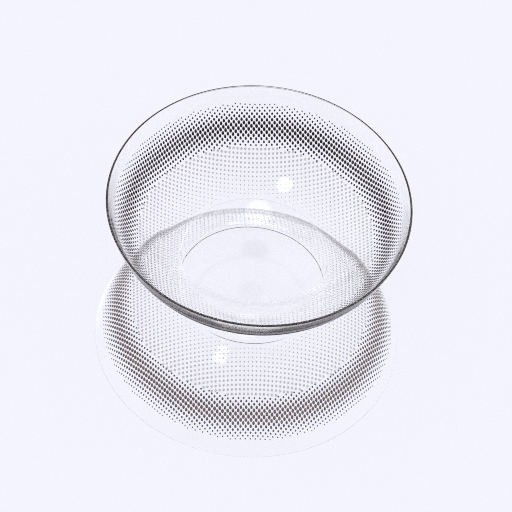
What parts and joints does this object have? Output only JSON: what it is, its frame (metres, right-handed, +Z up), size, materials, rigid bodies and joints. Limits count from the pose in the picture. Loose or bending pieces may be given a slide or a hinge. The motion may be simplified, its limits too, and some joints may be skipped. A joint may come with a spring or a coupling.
{
  "type": "coloured soft contact lens",
  "caption": "Thin bowl-shaped clear hydrogel eye lens with a dark limbal ring and a pale iris tint round a clear pupil, lying dome down with its hollow side up.",
  "frame": {"origin": "under the middle of the lens, on the surface that its dome lies on", "axes": "+Z up along the lens's axis, out of the hollow side that faces the eye; the lens is the same all round, so X and Y are free"},
  "size_m": [0.0142, 0.0142, 0.0047],
  "materials": {
    "clear_hydrogel": "wet, clear and glossy",
    "dark_pigment": "near-black brown pigment, printed as fine dots",
    "pale_pigment": "pale grey-beige pigment, printed as fine dots over a faint green tint"
  },
  "bodies": {
    "root": {"lens_body": "clear_hydrogel", "limbal_ring": "dark_pigment", "iris_tint": "pale_pigment"}
  },
  "joints": []
}
